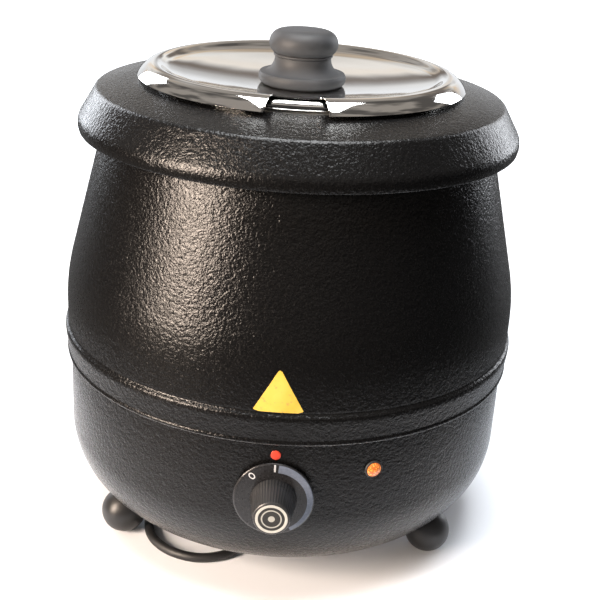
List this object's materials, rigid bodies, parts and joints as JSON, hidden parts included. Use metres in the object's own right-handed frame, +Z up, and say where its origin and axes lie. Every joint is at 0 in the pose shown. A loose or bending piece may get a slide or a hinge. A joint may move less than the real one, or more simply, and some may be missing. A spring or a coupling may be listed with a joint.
{
  "type": "soup kettle",
  "caption": "Round electric soup kettle: barrel-shaped black steel housing on ball feet, lift-out steel pot, notched lid with knob, control knob and pilot lamp.",
  "frame": {"origin": "on the kettle's vertical axis, in the plane of the floor that the feet stand on", "axes": "+Z up along the kettle's axis; the control knob faces -Y; +X is on the right of a person who faces the knob"},
  "size_m": [0.34, 0.4674, 0.3742],
  "materials": {
    "black_enamel": "glossy hammertone powder coat",
    "mirror_steel": "mirror-polished stainless steel",
    "satin_steel": "satin stainless steel",
    "zinc_steel": "zinc-plated steel",
    "galvanised": "galvanised sheet",
    "bakelite": "dark grey phenolic moulding, dull",
    "foot_rubber": "black moulded rubber",
    "knob_plastic": "black plastic, semi-gloss",
    "skirt_plastic": "smoky plastic with a blue-grey printed arc",
    "cap_print": "black disc with pale printed rings",
    "red_plastic": "red plastic",
    "amber_lens": "amber translucent plastic",
    "lamp_plastic": "black plastic",
    "yellow_film": "yellow adhesive film, slightly worn",
    "silicone": "translucent silicone",
    "heater_sheath": "heat-tinted steel tube",
    "cream_plastic": "cream phenolic moulding",
    "cutout_plastic": "black phenolic moulding",
    "copper": "bare copper",
    "brass_metal": "turned brass",
    "wire_brown": "brown insulation",
    "wire_blue": "blue insulation",
    "wire_green": "green and yellow insulation",
    "cord_rubber": "black flexible cord sheath",
    "plug_plastic": "black moulded plug",
    "nickel": "nickel-plated brass"
  },
  "bodies": {
    "kettle_body": {"base_shell": "black_enamel", "joint_ring": "galvanised", "upper_shell": "black_enamel", "collar": "black_enamel", "collar_gasket": "silicone", "water_well": "satin_steel", "foot_front_left": "foot_rubber", "foot_front_right": "foot_rubber", "foot_rear": "foot_rubber", "foot_studs": "zinc_steel", "foot_nuts": "zinc_steel", "bottom_plate": "galvanised", "plate_screws": "zinc_steel", "tie_rods": "zinc_steel", "base_nuts": "zinc_steel", "clamp_nuts": "zinc_steel", "heating_element": "heater_sheath", "element_clamp_plate": "galvanised", "thermal_cutout": "cutout_plastic", "thermostat_body": "cream_plastic", "thermostat_screws": "zinc_steel", "sensing_bulb": "copper", "bulb_clips": "zinc_steel", "capillary_tube": "copper", "index_dot": "red_plastic", "lamp_lens": "amber_lens", "lamp_body": "lamp_plastic", "lamp_nut": "lamp_plastic", "triangle_label": "yellow_film", "terminal_block": "cream_plastic", "earth_stud": "brass_metal", "wiring_live": "wire_brown", "wiring_neutral": "wire_blue", "wiring_earth": "wire_green", "cord_gland": "plug_plastic", "gland_nut": "plug_plastic", "power_cord": "cord_rubber", "cord_coil": "cord_rubber", "coil_tie": "lamp_plastic", "power_plug": "plug_plastic", "plug_pins": "nickel"},
    "soup_pot": {"soup_pot": "mirror_steel"},
    "lid": {"lid_plate": "mirror_steel", "lid_knob": "bakelite", "lid_knob_washer": "zinc_steel", "lid_knob_screw": "zinc_steel"},
    "knob": {"knob_skirt": "skirt_plastic", "knob_grip": "knob_plastic", "knob_cap": "cap_print", "knob_spring": "zinc_steel", "thermostat_spindle": "brass_metal"}
  },
  "joints": [
    {"name": "pot_lift", "type": "slide", "parent": "kettle_body", "child": "soup_pot", "axis": [0, 0, 1], "range_m": [0, 0.3]},
    {"name": "lid_lift", "type": "slide", "parent": "soup_pot", "child": "lid", "axis": [0, 0, 1], "range_m": [0, 0.15]},
    {"name": "knob_turn", "type": "hinge", "parent": "kettle_body", "child": "knob", "pos_m": [0, -0.18, 0.0955], "axis": [0, -1, 0], "range_deg": [0, 320]}
  ]
}
